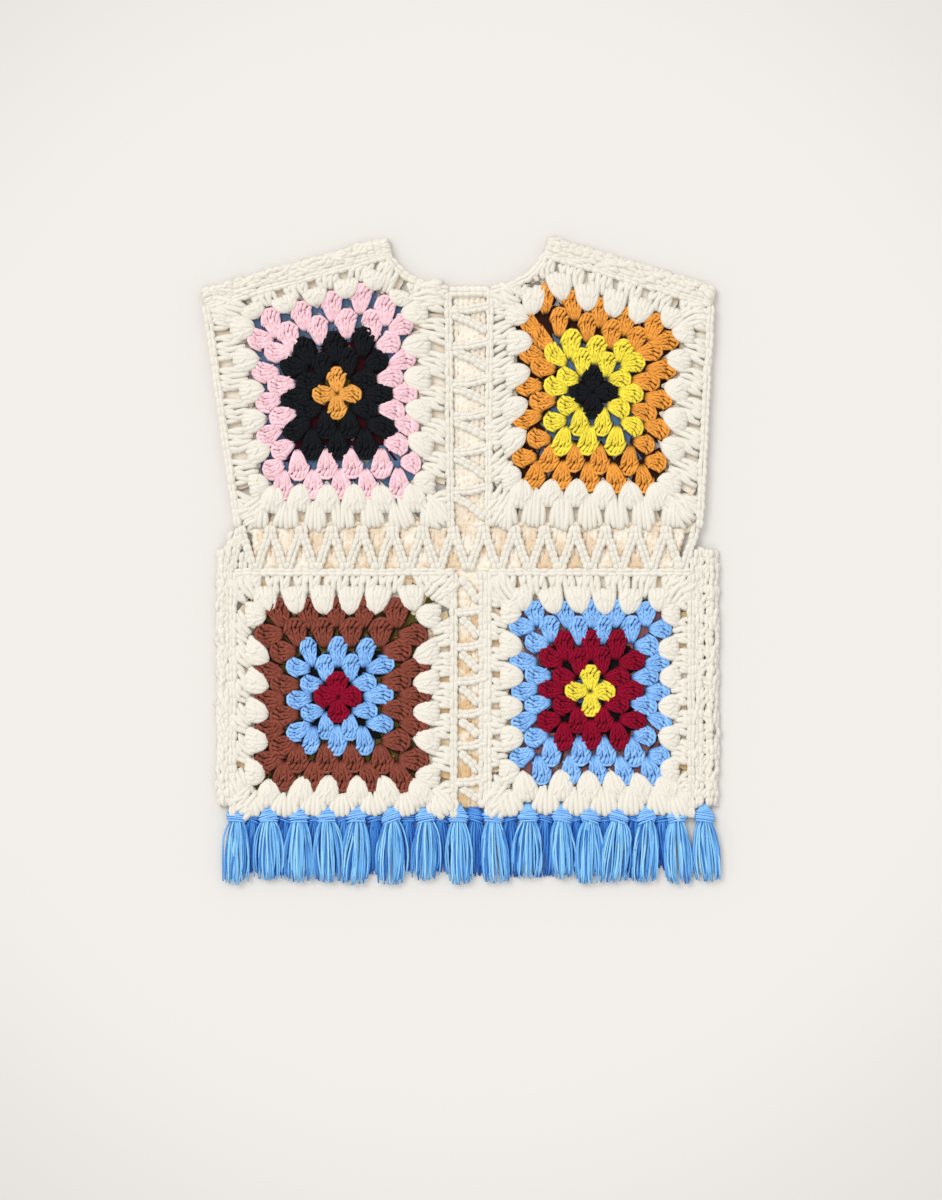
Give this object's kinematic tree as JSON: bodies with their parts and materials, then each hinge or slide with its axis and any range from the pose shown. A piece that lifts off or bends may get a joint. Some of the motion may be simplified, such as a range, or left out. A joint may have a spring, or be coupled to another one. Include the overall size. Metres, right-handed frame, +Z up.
{
  "type": "crochet top",
  "caption": "Sleeveless crochet top of granny squares joined by open chain lace, laid flat front over back, with a tasselled hem.",
  "frame": {"origin": "middle of the outline, at the height of the surface that the back layer lies on", "axes": "+X to the right of someone who faces the front, +Y from the hem towards the neck, +Z up off the surface, out of the front"},
  "size_m": [0.5178, 0.6508, 0.0083],
  "materials": {
    "cream": "matt crocheted yarn",
    "pink": "matt crocheted yarn",
    "orange": "matt crocheted yarn",
    "brown": "matt crocheted yarn",
    "light_blue": "matt crocheted yarn",
    "crimson": "matt crocheted yarn",
    "yellow": "matt crocheted yarn",
    "mauve": "matt crocheted yarn",
    "tassel_blue": "matt crocheted yarn",
    "black": "matt crocheted yarn"
  },
  "bodies": {
    "root": {"front_square_upper_left": "pink", "front_square_upper_right": "orange", "front_square_lower_left": "brown", "front_square_lower_right": "light_blue", "back_square_upper_left": "light_blue", "back_square_upper_right": "crimson", "back_square_lower_left": "yellow", "back_square_lower_right": "mauve", "back_join_centre_upper": "cream", "back_join_centre_lower": "cream", "back_join_waist": "cream", "front_join_centre_upper": "cream", "front_join_centre_lower": "cream", "front_join_waist": "cream", "join_side_left": "cream", "join_side_right": "cream", "join_shoulder_left": "cream", "join_shoulder_right": "cream", "front_tassel_01": "tassel_blue", "front_tassel_02": "tassel_blue", "front_tassel_03": "tassel_blue", "front_tassel_04": "tassel_blue", "front_tassel_05": "tassel_blue", "front_tassel_06": "tassel_blue", "front_tassel_07": "tassel_blue", "front_tassel_08": "tassel_blue", "front_tassel_09": "tassel_blue", "front_tassel_10": "tassel_blue", "front_tassel_11": "tassel_blue", "front_tassel_12": "tassel_blue", "front_tassel_13": "tassel_blue", "front_tassel_14": "tassel_blue", "front_tassel_15": "tassel_blue", "front_tassel_16": "tassel_blue", "back_tassel_01": "tassel_blue", "back_tassel_02": "tassel_blue", "back_tassel_03": "tassel_blue", "back_tassel_04": "tassel_blue", "back_tassel_05": "tassel_blue", "back_tassel_06": "tassel_blue", "back_tassel_07": "tassel_blue", "back_tassel_08": "tassel_blue", "back_tassel_09": "tassel_blue", "back_tassel_10": "tassel_blue", "back_tassel_11": "tassel_blue", "back_tassel_12": "tassel_blue", "back_tassel_13": "tassel_blue", "back_tassel_14": "tassel_blue"}
  },
  "joints": []
}
